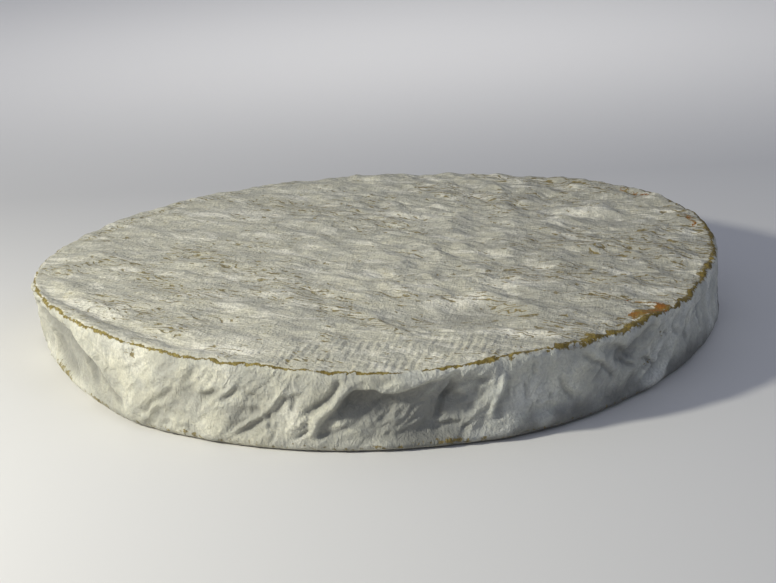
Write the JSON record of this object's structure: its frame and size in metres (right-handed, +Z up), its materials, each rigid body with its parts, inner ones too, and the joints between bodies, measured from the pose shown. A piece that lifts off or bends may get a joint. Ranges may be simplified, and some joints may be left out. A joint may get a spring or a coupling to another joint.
{
  "type": "cheese wheel",
  "caption": "Whole soft-ripened cheese wheel: a low, slightly uneven disc with a white bloomy rind, mat-marked faces and creased sides. It stands on its flat lower face.",
  "frame": {"origin": "middle of the lower face, on the surface that the wheel stands on", "axes": "+Z up through the wheel's thickness; +X to the right and +Y away as the picture's camera sees it"},
  "size_m": [0.3484, 0.3496, 0.0401],
  "materials": {
    "rind": "matte"
  },
  "bodies": {
    "root": {"cheese_wheel": "rind"}
  },
  "joints": []
}
